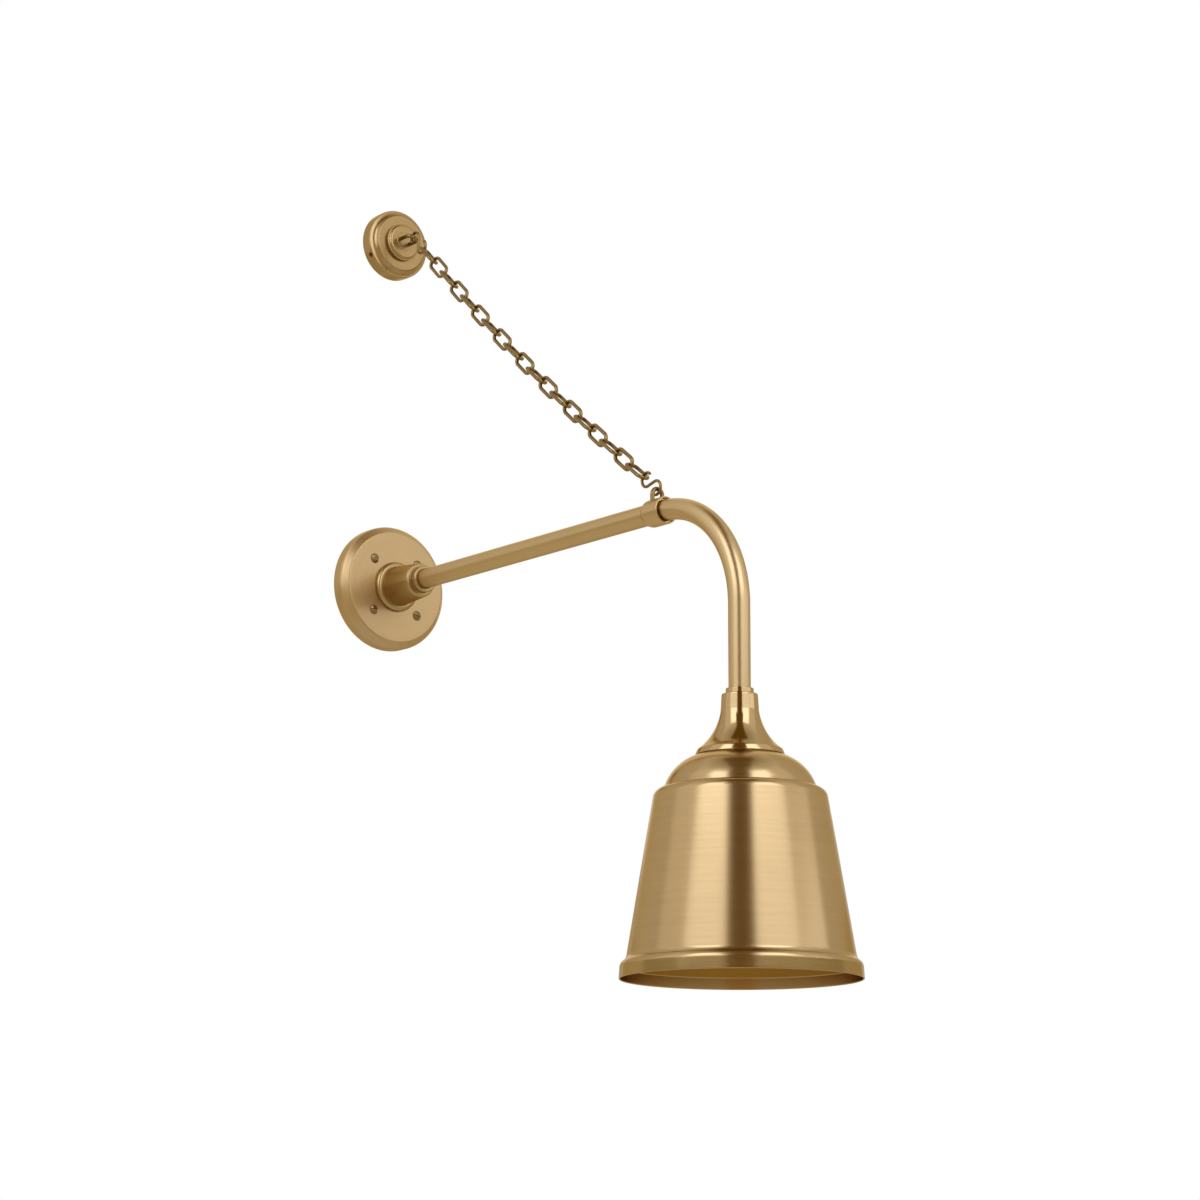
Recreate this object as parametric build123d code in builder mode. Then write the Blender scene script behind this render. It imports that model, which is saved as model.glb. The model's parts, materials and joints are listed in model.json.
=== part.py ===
"""Outdoor wall light: a bent tube arm on a round wall plate, a stay chain and a spun shade.

Millimetres, +Z up. The wall is the plane Y = 0 and the light stands out from it along -Y.
The origin is the middle of the wall plate's back.
"""

import os
from math import asin, cos, degrees, hypot, radians, sin, sqrt, tan

from build123d import *

# Clearances
tube_clearance = 0.15
thread_clearance = 0.05
screw_clearance = 0.3
chain_clearance = 0.3
hook_clearance = 0.6

# Arm: one 3/4 inch tube
tube_diameter = 19.05
tube_wall = 1.5
arm_reach = 529.0
arm_bend = 100.0
arm_start = 8.0

# Wall plate and what is fixed to it
plate_radius = 61.0
plate_depth = 17.9
plate_bevel = 6.5
plate_wall = 2.5
plate_screw_spacing = 50.8
screw_radius = 2.0
screw_head_radius = 4.6
screw_sink = 0.3
screw_end = 0.4
slot_width = 1.2
slot_depth = 1.2
slot_angles = (-4, 6, -18, 8)
mounting_thickness = 2.5
mounting_margin = 4.6
mounting_gap = 1.0
box_screw_spacing = 88.9
box_hole_radius = 2.5
wiring_hole_radius = 11.0
lock_nut_wall = 5.0
lock_nut_height = 5.0

# Hub: walls are measured from the tube
hub_bead_wall = 14.6
hub_bead_width = 5.4
hub_bead_rise = 2.2
hub_root_wall = 10.0
hub_end_wall = 6.9
hub_end_round = 2.0
hub_length = 42.9
hub_lip_wall = 3.4
hub_lip_length = 7.7
hub_lip_round = 1.5

# Chain collar on the arm
collar_length = 24.0
collar_overhang = 4.0
collar_wall = 2.9
collar_shoulder = 6.0
collar_shoulder_rise = 0.5
collar_edge_wall = 1.0
collar_mouth_wall = 1.4
collar_mouth_depth = 7.0

# Eyes
eye_bar = 4.0
eye_width = 15.2
eye_seat = 4.5
eye_seat_wall = 0.6
collar_eye_offset = -1.0
collar_eye_rise = 11.0
anchor_eye_rise = 18.1
anchor_eye_turn = -19.0

# Wall anchor above the plate
anchor_height = 352.4
anchor_radius = 34.7
anchor_edge = 12.6
anchor_cove_depth = 5.6
anchor_cove_width = 6.7
anchor_cove_rise = 1.7
anchor_wall = 1.8
anchor_turn = 28.0
anchor_screw_radius = 2.4
anchor_screw_margin = 3.6
anchor_screw_recess = 1.0
anchor_screw_socket = 1.4
anchor_screw_socket_depth = 2.0
boss_radius = 18.8
boss_height = 5.8
boss_round = 2.6
boss_ledge = 1.2
boss_disc_radius = 9.3
boss_disc_height = 0.6
stem_radius = 5.0
stem_nut_wall = 3.5
stem_nut_height = 5.0
strap_thickness = 3.0
strap_width = 16.0
strap_gap = 2.8
strap_hole_spacing = 40.0
strap_hole_radius = 2.4

# Hooks and chain
hook_wire = 2.8
hook_loop = 6.4
hook_length = 16.2
hook_link_wrap = 240.0
hook_eye_wrap = 205.0
link_count = 19
link_wire = 3.1
link_width = 15.2
chain_sag = 8.4
chain_twist = 18.0
link_sides = 8
link_flats = 6

# Neck: walls are measured from the tube
neck_drop = 173.0
neck_ring_wall = 2.4
neck_ring_height = 4.8
neck_stem_wall = 5.9
neck_stem_height = 14.2
neck_waist_wall = 6.7
neck_height = 57.6
neck_chamfer = 0.8
flare_rise = 3.6
flange_radius = 37.8
flange_edge = 5.4
flange_bead_width = 2.9
flange_bead_rise = 0.8
flange_foot = 1.0

# Shade
shade_wall = 1.2
dome_radius = 64.4
dome_height = 27.8
dome_rise = 4.8
shoulder_radius = 73.3
shoulder_height = 6.6
shoulder_rise = 1.9
taper_radius = 95.4
taper_height = 132.8
ogee_radius = 101.2
ogee_height = 9.6
ogee_rise = 0.6
rim_radius = 101.8
rim_height = 10.1

# Lampholder and bulb
socket_thread = 8.0
socket_top_radius = 14.0
socket_radius = 19.5
socket_slope = 9.0
socket_height = 47.0
socket_depth = 28.0
shell_radius = 14.3
shell_wall = 0.6
shell_set_back = 2.0
contact_size = 8.0
contact_height = 2.0
bulb_cap_radius = 13.2
bulb_tip_radius = 5.0
bulb_tip_height = 4.0
bulb_radius = 30.0
bulb_length = 80.0
bulb_neck = 8.0
bulb_swell = 45.0
glass_wall = 0.8

# Places that follow from the sizes
tube_radius = tube_diameter / 2
tube_bore = tube_radius + tube_clearance
thread_radius = tube_radius + thread_clearance
plate_face_radius = plate_radius - plate_bevel
plate_edge = plate_depth - plate_bevel
plate_inner = plate_radius - plate_wall
plate_back = plate_depth - plate_wall
hub_end = plate_depth + hub_length
hub_lip_end = hub_end + hub_lip_length
collar_front = arm_reach - arm_bend + collar_overhang
collar_back = collar_front - collar_length
collar_radius = tube_radius + collar_wall
eye_loop = (eye_width - eye_bar) / 2
collar_eye_out = (collar_back + collar_front) / 2 + collar_eye_offset
collar_eye_arch = collar_radius + collar_eye_rise - eye_width / 2
anchor_depth = anchor_edge + anchor_cove_depth
anchor_inner = anchor_radius - anchor_wall
anchor_face_radius = anchor_radius - anchor_cove_width
anchor_screw_out = anchor_edge - anchor_screw_margin
boss_front = anchor_depth + boss_height
anchor_eye_arch = boss_front + anchor_eye_rise - eye_width / 2
neck_top = -neck_drop
neck_base = neck_top - neck_height
crown_back = neck_base - shade_wall
dome_z = neck_base - dome_height
shoulder_z = dome_z - shoulder_height
taper_z = shoulder_z - taper_height
ogee_z = taper_z - ogee_height
rim_z = ogee_z - rim_height
socket_top = crown_back - lock_nut_height
arm_end = socket_top - socket_thread
socket_floor = socket_top - socket_height + socket_depth
socket_bottom = socket_top - socket_height
bulb_top = socket_floor - contact_height


def at(out, up, across=0.0):
    """A point from its distance out from the wall, its height and its place along X."""
    return (across, -out, up)


def facing_wall(out, up=0.0):
    """A plane parallel to the wall, seen from the room: x along X, y up, z out of the wall."""
    return Plane(at(out, up), x_dir=(1, 0, 0), z_dir=(0, -1, 0))


# Side planes: x runs out from the wall and y runs up
side = Plane(at(0, 0), x_dir=(0, -1, 0), z_dir=(-1, 0, 0))
anchor_side = Plane(at(0, anchor_height), x_dir=(0, -1, 0), z_dir=(-1, 0, 0))
lamp_side = Plane(at(arm_reach, 0), x_dir=(0, -1, 0), z_dir=(-1, 0, 0))
arm_axis = Axis(at(0, 0), (0, -1, 0))
anchor_axis = Axis(at(0, anchor_height), (0, -1, 0))
lamp_axis = Axis(at(arm_reach, 0), (0, 0, 1))

# Wall plate: a shallow cup with a flat bevel and four countersunk holes
plate_mitre = plate_wall * tan(radians(22.5))
plate_face = facing_wall(plate_depth)
with BuildPart() as wall_plate:
    with BuildSketch(side):
        with BuildLine():
            Polyline(
                (0, plate_radius),
                (plate_edge, plate_radius),
                (plate_depth, plate_face_radius),
                (plate_depth, tube_bore),
                (plate_back, tube_bore),
                (plate_back, plate_face_radius - plate_mitre),
                (plate_edge - plate_mitre, plate_inner),
                (0, plate_inner),
                close=True,
            )
        make_face()
    revolve(axis=arm_axis)
    with Locations(plate_face):
        with GridLocations(plate_screw_spacing, plate_screw_spacing, 2, 2):
            CounterSinkHole(
                screw_radius + screw_clearance,
                screw_head_radius + screw_sink,
                counter_sink_angle=90,
            )

# Mounting plate on the junction box, tapped for the four plate screws
mounting_radius = plate_inner - mounting_gap
mounting_side = plate_screw_spacing + 2 * mounting_margin
with BuildPart() as mounting_plate:
    with BuildSketch(facing_wall(0)):
        Circle(mounting_radius)
        Rectangle(2 * mounting_radius, mounting_side, mode=Mode.INTERSECT)
        Circle(wiring_hole_radius, mode=Mode.SUBTRACT)
        with GridLocations(box_screw_spacing, 0, 2, 1):
            Circle(box_hole_radius, mode=Mode.SUBTRACT)
        with GridLocations(plate_screw_spacing, plate_screw_spacing, 2, 2):
            Circle(screw_radius + thread_clearance, mode=Mode.SUBTRACT)
    extrude(amount=mounting_thickness)

# Four slotted screws through the plate into the mounting plate
screw_top = plate_depth - screw_sink
screw_head_height = screw_head_radius - screw_radius
from_top = (Align.CENTER, Align.CENTER, Align.MAX)
corners = GridLocations(plate_screw_spacing, plate_screw_spacing, 2, 2).locations
with BuildPart() as plate_screws:
    for corner, slot_angle in zip(corners, slot_angles):
        with Locations(facing_wall(screw_top).location * corner * Rotation(0, 0, slot_angle)):
            Cylinder(screw_radius, screw_top - screw_end, align=from_top)
            Cone(screw_radius, screw_head_radius, screw_head_height, align=from_top)
            Box(3 * screw_head_radius, slot_width, slot_depth, align=from_top, mode=Mode.SUBTRACT)

# Hub: bead against the plate, taper, and a lip where the arm enters
hub_bead_radius = tube_radius + hub_bead_wall
hub_root_radius = tube_radius + hub_root_wall
hub_end_radius = tube_radius + hub_end_wall
hub_lip_radius = tube_radius + hub_lip_wall
hub_bead = (plate_depth, hub_bead_radius)
hub_root = (plate_depth + hub_bead_width, hub_root_radius)
with BuildPart() as hub:
    with BuildSketch(side):
        with BuildLine():
            SagittaArc(hub_bead, hub_root, hub_bead_rise)
            Polyline(
                hub_root,
                (hub_end - hub_end_round, hub_end_radius),
                (hub_end, hub_end_radius - hub_end_round),
                (hub_end, hub_lip_radius),
                (hub_lip_end - hub_lip_round, hub_lip_radius),
                (hub_lip_end, hub_lip_radius - hub_lip_round),
                (hub_lip_end, tube_bore),
                (plate_depth, tube_bore),
                hub_bead,
            )
        make_face()
    revolve(axis=arm_axis)

# Nut on the arm's threaded end, inside the wall plate
with BuildPart() as hub_lock_nut:
    with BuildSketch(facing_wall(plate_back - lock_nut_height)):
        RegularPolygon(tube_radius + lock_nut_wall, 6, major_radius=False)
        Circle(thread_radius, mode=Mode.SUBTRACT)
    extrude(amount=lock_nut_height)

# Arm: out from the wall, round one bend and down through the neck
with BuildPart() as arm_tube:
    with BuildLine(side) as arm_run:
        Line((arm_start, 0), (arm_reach - arm_bend, 0))
        CenterArc((arm_reach - arm_bend, -arm_bend), arm_bend, 90, -90)
        Line((arm_reach, -arm_bend), (arm_reach, arm_end))
    with BuildSketch(facing_wall(arm_start)):
        Circle(tube_radius)
        Circle(tube_radius - tube_wall, mode=Mode.SUBTRACT)
    sweep(path=arm_run.line)

# Eye on the collar: an upright U with its feet in the collar
eye_foot = sqrt(tube_bore**2 - (eye_loop - eye_bar / 2) ** 2) + eye_seat_wall
with BuildPart() as collar_eye:
    with BuildLine(facing_wall(collar_eye_out)) as collar_eye_run:
        Line((-eye_loop, eye_foot), (-eye_loop, collar_eye_arch))
        CenterArc((0, collar_eye_arch), eye_loop, 180, -180)
        Line((eye_loop, collar_eye_arch), (eye_loop, eye_foot))
    with BuildSketch(Plane(at(collar_eye_out, eye_foot, -eye_loop), z_dir=(0, 0, 1))):
        Circle(eye_bar / 2)
    sweep(path=collar_eye_run.line)

# Collar: a sleeve with a rounded shoulder behind and a wider mouth in front
collar_mouth = collar_radius - collar_mouth_wall
collar_edge = (collar_back, tube_radius + collar_edge_wall)
collar_top = (collar_back + collar_shoulder, collar_radius)
with BuildPart() as chain_collar:
    with BuildSketch(side):
        with BuildLine():
            SagittaArc(collar_edge, collar_top, collar_shoulder_rise)
            Polyline(
                collar_top,
                (collar_front, collar_radius),
                (collar_front, collar_mouth),
                (collar_front - collar_mouth_depth, collar_mouth),
                (collar_front - collar_mouth_depth, tube_bore),
                (collar_back, tube_bore),
                collar_edge,
            )
        make_face()
    revolve(axis=arm_axis)
    add(collar_eye.part, mode=Mode.SUBTRACT)

# Eye on the anchor: the same U lying down and turned a little, with its feet in the boss
eye_x = cos(radians(anchor_eye_turn))
eye_z = sin(radians(anchor_eye_turn))
eye_flat = Plane(at(0, anchor_height), x_dir=(eye_x, 0, eye_z), z_dir=(eye_z, 0, -eye_x))
anchor_eye_foot = boss_front - eye_seat
with BuildPart() as anchor_eye:
    with BuildLine(eye_flat) as anchor_eye_run:
        Line((-eye_loop, anchor_eye_foot), (-eye_loop, anchor_eye_arch))
        CenterArc((0, anchor_eye_arch), eye_loop, 180, -180)
        Line((eye_loop, anchor_eye_arch), (eye_loop, anchor_eye_foot))
    with BuildSketch(Plane(anchor_eye_run.line @ 0, z_dir=anchor_eye_run.line % 0)):
        Circle(eye_bar / 2)
    sweep(path=anchor_eye_run.line)

# Boss in the middle of the anchor: a ledge, a round edge and a low disc, with the stem behind
boss_step = boss_front - boss_round
boss_rim = boss_radius - boss_ledge - boss_round
disc_front = boss_front + boss_disc_height
with BuildPart() as anchor_boss:
    with BuildSketch(anchor_side):
        with BuildLine():
            boss_edge = Polyline(
                (screw_end, 0),
                (screw_end, stem_radius),
                (anchor_depth, stem_radius),
                (anchor_depth, boss_radius),
                (boss_step, boss_radius),
                (boss_step, boss_radius - boss_ledge),
            )
            CenterArc((boss_step, boss_rim), boss_round, 90, -90)
            Polyline(
                (boss_front, boss_rim),
                (boss_front, boss_disc_radius),
                (disc_front, boss_disc_radius),
                (disc_front, 0),
                boss_edge @ 0,
            )
        make_face()
    revolve(axis=anchor_axis)
    add(anchor_eye.part, mode=Mode.SUBTRACT)

# Set screws lie along a line turned from the horizontal
turn_x = cos(radians(anchor_turn))
turn_z = sin(radians(anchor_turn))
screw_line = Plane(at(anchor_screw_out, anchor_height), z_dir=(turn_x, 0, turn_z))

# Anchor cover: straight edge, cove, flat face
stem_bore = stem_radius + screw_clearance
cove_start = (anchor_edge, anchor_radius)
cove_end = (anchor_depth, anchor_face_radius)
with BuildPart() as anchor_cover:
    with BuildSketch(anchor_side):
        with BuildLine():
            SagittaArc(cove_start, cove_end, -anchor_cove_rise)
            Polyline(
                cove_end,
                (anchor_depth, stem_bore),
                (anchor_depth - anchor_wall, stem_bore),
                (anchor_depth - anchor_wall, anchor_face_radius - anchor_wall),
                (anchor_edge - anchor_wall, anchor_inner),
                (0, anchor_inner),
                (0, anchor_radius),
                cove_start,
            )
        make_face()
    revolve(axis=anchor_axis)
    with Locations(screw_line):
        Cylinder(anchor_screw_radius + screw_clearance, 3 * anchor_radius, mode=Mode.SUBTRACT)

# Strap on the wall under the cover, with an ear for each set screw
strap_half = sqrt((anchor_inner - strap_gap) ** 2 - strap_width**2 / 4)
ear_height = anchor_screw_out + anchor_screw_radius + anchor_screw_recess
strap_edge = Plane(
    at(0, anchor_height), x_dir=(turn_x, 0, turn_z), z_dir=(turn_z, 0, -turn_x)
)
with BuildPart() as anchor_bracket:
    with BuildSketch(strap_edge):
        with BuildLine():
            Polyline(
                (-strap_half, 0),
                (strap_half, 0),
                (strap_half, ear_height),
                (strap_half - strap_thickness, ear_height),
                (strap_half - strap_thickness, strap_thickness),
                (strap_thickness - strap_half, strap_thickness),
                (strap_thickness - strap_half, ear_height),
                (-strap_half, ear_height),
                close=True,
            )
        make_face()
    extrude(amount=strap_width / 2, both=True)
    with Locations(screw_line):
        Cylinder(anchor_screw_radius + thread_clearance, 3 * strap_half, mode=Mode.SUBTRACT)
    with Locations(facing_wall(0, anchor_height).location * Rotation(0, 0, anchor_turn)):
        Cylinder(stem_radius + thread_clearance, 3 * strap_thickness, mode=Mode.SUBTRACT)
        with GridLocations(strap_hole_spacing, 0, 2, 1):
            Cylinder(strap_hole_radius, 3 * strap_thickness, mode=Mode.SUBTRACT)

# Nut that locks the boss's stem to the strap
with BuildPart() as anchor_nut:
    with BuildSketch(facing_wall(strap_thickness, anchor_height)):
        RegularPolygon(stem_radius + stem_nut_wall, 6, major_radius=False)
        Circle(stem_radius + thread_clearance, mode=Mode.SUBTRACT)
    extrude(amount=stem_nut_height)

# Two set screws through the cover's edge into the ears
set_screw_top = anchor_radius - anchor_screw_recess
set_screw_length = set_screw_top - strap_half + strap_thickness
with BuildPart() as anchor_set_screws:
    for turned in (0, 180):
        end = screw_line.location * Rotation(0, turned, 0) * Location((0, 0, set_screw_top))
        with BuildSketch(Plane(end)):
            Circle(anchor_screw_radius)
        extrude(amount=-set_screw_length)
        with BuildSketch(Plane(end)):
            RegularPolygon(anchor_screw_socket, 6)
        extrude(amount=-anchor_screw_socket_depth, mode=Mode.SUBTRACT)

# Neck: ring on the tube, stem, and a flare to the flange with its beaded edge
neck_shoulder = neck_top - neck_ring_height
neck_waist = neck_shoulder - neck_stem_height
neck_ring_radius = tube_radius + neck_ring_wall
neck_stem_radius = tube_radius + neck_stem_wall
neck_waist_radius = tube_radius + neck_waist_wall
flare_start = (neck_waist_radius, neck_waist)
flare_end = (flange_radius - flange_bead_width, neck_base + flange_edge)
bead_end = (flange_radius, neck_base + flange_foot)
with BuildPart() as neck:
    with BuildSketch(lamp_side):
        with BuildLine():
            SagittaArc(flare_start, flare_end, -flare_rise)
            SagittaArc(flare_end, bead_end, flange_bead_rise)
            Polyline(
                bead_end,
                (flange_radius, neck_base),
                (tube_bore, neck_base),
                (tube_bore, neck_top),
                (neck_ring_radius, neck_top),
                (neck_ring_radius, neck_shoulder),
                (neck_stem_radius - neck_chamfer, neck_shoulder),
                (neck_stem_radius, neck_shoulder - neck_chamfer),
                flare_start,
            )
        make_face()
    revolve(axis=lamp_axis)

# Shade: crown, dome, shoulder, straight taper, ogee and rim, spun from one sheet
dome_start = (flange_radius, neck_base)
dome_end = (dome_radius, dome_z)
taper_start = (shoulder_radius, shoulder_z)
taper_end = (taper_radius, taper_z)
ogee_middle = ((taper_radius + ogee_radius) / 2, (taper_z + ogee_z) / 2)
ogee_end = (ogee_radius, ogee_z)
inner_dome_end = (dome_radius - shade_wall, dome_z - shade_wall)
inner_dome_start = (flange_radius - shade_wall / 2, crown_back)
with BuildPart() as shade:
    with BuildSketch(lamp_side):
        with BuildLine():
            SagittaArc(dome_start, dome_end, dome_rise)
            SagittaArc(dome_end, taper_start, shoulder_rise)
            Line(taper_start, taper_end)
            SagittaArc(taper_end, ogee_middle, -ogee_rise)
            SagittaArc(ogee_middle, ogee_end, ogee_rise)
            Polyline(
                ogee_end,
                (rim_radius, rim_z),
                (rim_radius - shade_wall, rim_z),
                (ogee_radius - shade_wall, ogee_z),
                (taper_radius - shade_wall, taper_z - shade_wall),
                (shoulder_radius - shade_wall, shoulder_z - shade_wall / 2),
                inner_dome_end,
            )
            SagittaArc(inner_dome_end, inner_dome_start, -dome_rise)
            Polyline(inner_dome_start, (tube_bore, crown_back), (tube_bore, neck_base), dome_start)
        make_face()
    revolve(axis=lamp_axis)

# Nut on the arm's end that clamps the shade under the neck
with BuildPart() as shade_lock_nut:
    with BuildSketch(Plane(at(arm_reach, crown_back))):
        RegularPolygon(tube_radius + lock_nut_wall, 6, major_radius=False)
        Circle(thread_radius, mode=Mode.SUBTRACT)
    extrude(amount=-lock_nut_height)

# Lampholder screwed on the arm's end: porcelain body, screw shell and middle contact
with BuildPart() as socket_body:
    with BuildSketch(lamp_side):
        with BuildLine():
            Polyline(
                (thread_radius, socket_top),
                (socket_top_radius, socket_top),
                (socket_radius, socket_top - socket_slope),
                (socket_radius, socket_bottom),
                (shell_radius, socket_bottom),
                (shell_radius, socket_floor),
                (0, socket_floor),
                (0, arm_end),
                (thread_radius, arm_end),
                close=True,
            )
        make_face()
    revolve(axis=lamp_axis)

with BuildPart() as socket_shell:
    with BuildSketch(Plane(at(arm_reach, socket_floor))):
        Circle(shell_radius - thread_clearance)
        Circle(shell_radius - shell_wall, mode=Mode.SUBTRACT)
    extrude(amount=-(socket_depth - shell_set_back))

with BuildPart() as socket_contact:
    with BuildSketch(Plane(at(arm_reach, socket_floor))):
        Rectangle(contact_size, contact_size / 2)
    extrude(amount=-contact_height)

# Bulb: screw cap up in the shell, and a glass bulb under it
bulb_seam = socket_bottom
bulb_middle = bulb_seam - bulb_length + bulb_radius
glass_radius = bulb_radius - glass_wall
glass_neck = bulb_cap_radius - glass_wall
with BuildPart() as bulb_cap:
    with BuildSketch(lamp_side):
        with BuildLine():
            Polyline(
                (0, bulb_top),
                (bulb_tip_radius, bulb_top),
                (bulb_cap_radius, bulb_top - bulb_tip_height),
                (bulb_cap_radius, bulb_seam),
                (0, bulb_seam),
                close=True,
            )
        make_face()
    revolve(axis=lamp_axis)

with BuildPart() as bulb_glass:
    with BuildSketch(lamp_side):
        with BuildLine():
            globe = CenterArc((0, bulb_middle), bulb_radius, bulb_swell, -90 - bulb_swell)
            hollow = CenterArc((0, bulb_middle), glass_radius, bulb_swell, -90 - bulb_swell)
            Line(globe @ 1, hollow @ 1)
            Polyline(
                hollow @ 0,
                (glass_neck, bulb_seam - bulb_neck),
                (glass_neck, bulb_seam),
                (bulb_cap_radius, bulb_seam),
                (bulb_cap_radius, bulb_seam - bulb_neck),
                globe @ 0,
            )
        make_face()
    revolve(axis=lamp_axis)

# The chain hangs in the plane of the arm, between the bars of the two eyes.
# Its links are as long as the run between the hooks asks for.
upper_bar = (anchor_eye_arch + eye_loop, anchor_height)
lower_bar = (collar_eye_out, collar_eye_arch + eye_loop)
chord = hypot(lower_bar[0] - upper_bar[0], lower_bar[1] - upper_bar[1])
chain_run = chord * (1 + 8 / 3 * (chain_sag / chord) ** 2)
along = ((lower_bar[0] - upper_bar[0]) / chord, (lower_bar[1] - upper_bar[1]) / chord)
below = (along[1], -along[0])
eye_offset = hook_loop - hook_wire / 2 - eye_bar / 2 - hook_clearance
link_offset = hook_loop - hook_wire / 2 - link_wire / 2 - chain_clearance
hook_span = hook_length + eye_offset + link_offset
link_lap = link_wire + chain_clearance
link_span = (chain_run - 2 * hook_span + (link_count - 1) * link_lap) / link_count
link_pitch = link_span - link_lap
link_bend = (link_width - link_wire) / 2


def hang(run):
    """Where the sagging chain is after a run from the upper eye, and its direction there."""
    t = run / chain_run
    drop = 4 * chain_sag * t * (1 - t)
    slope = 4 * chain_sag * (1 - 2 * t) / chord
    out = upper_bar[0] + along[0] * chord * t + below[0] * drop
    up = upper_bar[1] + along[1] * chord * t + below[1] * drop
    length = hypot(1, slope)
    return (out, up), (
        (along[0] + below[0] * slope) / length,
        (along[1] + below[1] * slope) / length,
    )


def hook_plane(bar, link_end, flip):
    """A hook's own plane: origin at its link loop, x towards its eye loop."""
    dx = bar[0] - link_end[0]
    dy = bar[1] - link_end[1]
    length = hypot(dx, dy)
    x_dir = (dx / length, dy / length)
    origin = (link_end[0] + x_dir[0] * link_offset, link_end[1] + x_dir[1] * link_offset)
    return Plane(at(*origin), x_dir=at(*x_dir), z_dir=(-flip, 0, 0))


pieces = {
    "wall_plate": wall_plate,
    "mounting_plate": mounting_plate,
    "plate_screws": plate_screws,
    "hub": hub,
    "hub_lock_nut": hub_lock_nut,
    "arm_tube": arm_tube,
    "chain_collar": chain_collar,
    "collar_eye": collar_eye,
    "anchor_cover": anchor_cover,
    "anchor_boss": anchor_boss,
    "anchor_eye": anchor_eye,
    "anchor_bracket": anchor_bracket,
    "anchor_nut": anchor_nut,
    "anchor_set_screws": anchor_set_screws,
    "neck": neck,
    "shade": shade,
    "shade_lock_nut": shade_lock_nut,
    "socket_body": socket_body,
    "socket_shell": socket_shell,
    "socket_contact": socket_contact,
    "bulb_cap": bulb_cap,
    "bulb_glass": bulb_glass,
}

# Open S hooks: a loop, a slanting middle and a loop turned the other way
hook_slant = degrees(asin(2 * hook_loop / hook_length))
hook_planes = {
    "upper_hook": hook_plane(upper_bar, hang(hook_span)[0], -1),
    "lower_hook": hook_plane(lower_bar, hang(chain_run - hook_span)[0], 1),
}
for name, plane in hook_planes.items():
    with BuildPart() as hook:
        with BuildLine(plane) as hook_run:
            link_loop = CenterArc((0, 0), hook_loop, hook_slant - 90 - hook_link_wrap, hook_link_wrap)
            eye_side = CenterArc((hook_length, 0), hook_loop, hook_slant + 90, -hook_eye_wrap)
            Line(link_loop @ 1, eye_side @ 0)
        with BuildSketch(Plane(link_loop @ 0, z_dir=link_loop % 0)):
            Circle(hook_wire / 2)
        sweep(path=hook_run.line)
    pieces[name] = hook

# Oval links, each a quarter turn from the last, the whole chain twisted a little towards the top
half_straight = link_span / 2 - link_bend
bend_angles = [radians(90 - 180 * flat / link_flats) for flat in range(link_flats + 1)]
bend = [(half_straight + link_bend * cos(a), link_bend * sin(a)) for a in bend_angles]
for number in range(1, link_count + 1):
    middle, heading = hang(hook_span + link_span / 2 + (number - 1) * link_pitch)
    roll = 90 * (number + 1) - chain_twist * (link_count - number) / (link_count - 1)
    level = Plane(at(*middle), x_dir=at(*heading), z_dir=at(-heading[1], heading[0]))
    link_plane = Plane(level.location * Rotation(roll, 0, 0))
    with BuildPart() as link:
        with BuildLine(link_plane) as half_link:
            Polyline((0, link_bend), *bend, (0, -link_bend))
        with BuildSketch(Plane(half_link.line @ 0, z_dir=half_link.line % 0)):
            RegularPolygon(link_wire / 2, link_sides)
        sweep(path=half_link.line, transition=Transition.RIGHT)
        mirror(about=Plane(link_plane.origin, z_dir=link_plane.x_dir))
    pieces[f"chain_link_{number:02d}"] = link

os.makedirs("parts", exist_ok=True)
for name, piece in pieces.items():
    piece.part.label = name
    export_step(piece.part, f"parts/{name}.step")
print(f"{len(pieces)} pieces, link pitch {link_pitch:.2f} mm, chord {chord:.1f} mm")
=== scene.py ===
# %% [markdown]
# # An outdoor wall light with a stay chain
# The real light is brass: a round wall plate, a bent tube, a spun shade, and a chain that runs from
# the tube up to a second plate on the wall and takes part of the weight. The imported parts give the
# sizes, and they are loaded here and never changed. This lesson gives them their finishes, and
# makes the pieces again whose soft edges and smooth curves catch the light.

import json
import math

import bmesh
import bpy
import numpy as np
from mathutils import Euler, Matrix, Vector


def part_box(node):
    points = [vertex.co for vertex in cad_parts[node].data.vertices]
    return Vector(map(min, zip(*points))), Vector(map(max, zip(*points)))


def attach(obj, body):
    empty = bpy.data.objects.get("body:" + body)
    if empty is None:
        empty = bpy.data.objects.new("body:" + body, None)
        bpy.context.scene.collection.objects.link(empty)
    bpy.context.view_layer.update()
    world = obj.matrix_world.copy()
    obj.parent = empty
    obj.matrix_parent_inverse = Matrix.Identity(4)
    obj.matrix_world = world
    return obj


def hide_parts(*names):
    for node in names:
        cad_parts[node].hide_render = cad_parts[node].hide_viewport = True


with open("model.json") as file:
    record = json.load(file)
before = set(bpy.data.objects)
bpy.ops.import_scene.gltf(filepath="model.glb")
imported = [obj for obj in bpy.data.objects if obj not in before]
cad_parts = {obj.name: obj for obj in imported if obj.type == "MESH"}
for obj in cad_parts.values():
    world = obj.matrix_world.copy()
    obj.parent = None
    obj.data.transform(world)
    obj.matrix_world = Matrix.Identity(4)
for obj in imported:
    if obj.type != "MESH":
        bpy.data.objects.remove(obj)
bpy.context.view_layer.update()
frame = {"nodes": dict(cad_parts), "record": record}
parts = frame["nodes"]

# %% [markdown]
# ## The camera
# The photograph looks up at the light from below and from its left, through a long lens.
# The viewpoint was worked out from the picture's straight edges and circles, so it is set here as
# a place, a heading, a tilt and a focal length. A camera could also be aimed with a Track To
# constraint, but angles are easier to check against the picture.

# %% Camera
picture_side = 1200
focal_pixels = 3177.2
camera_place = (-1.7313, -2.52182, -0.65453)
camera_heading = math.radians(38.421)
camera_tilt = math.radians(11.939)
camera_roll = math.radians(0.158)

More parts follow.
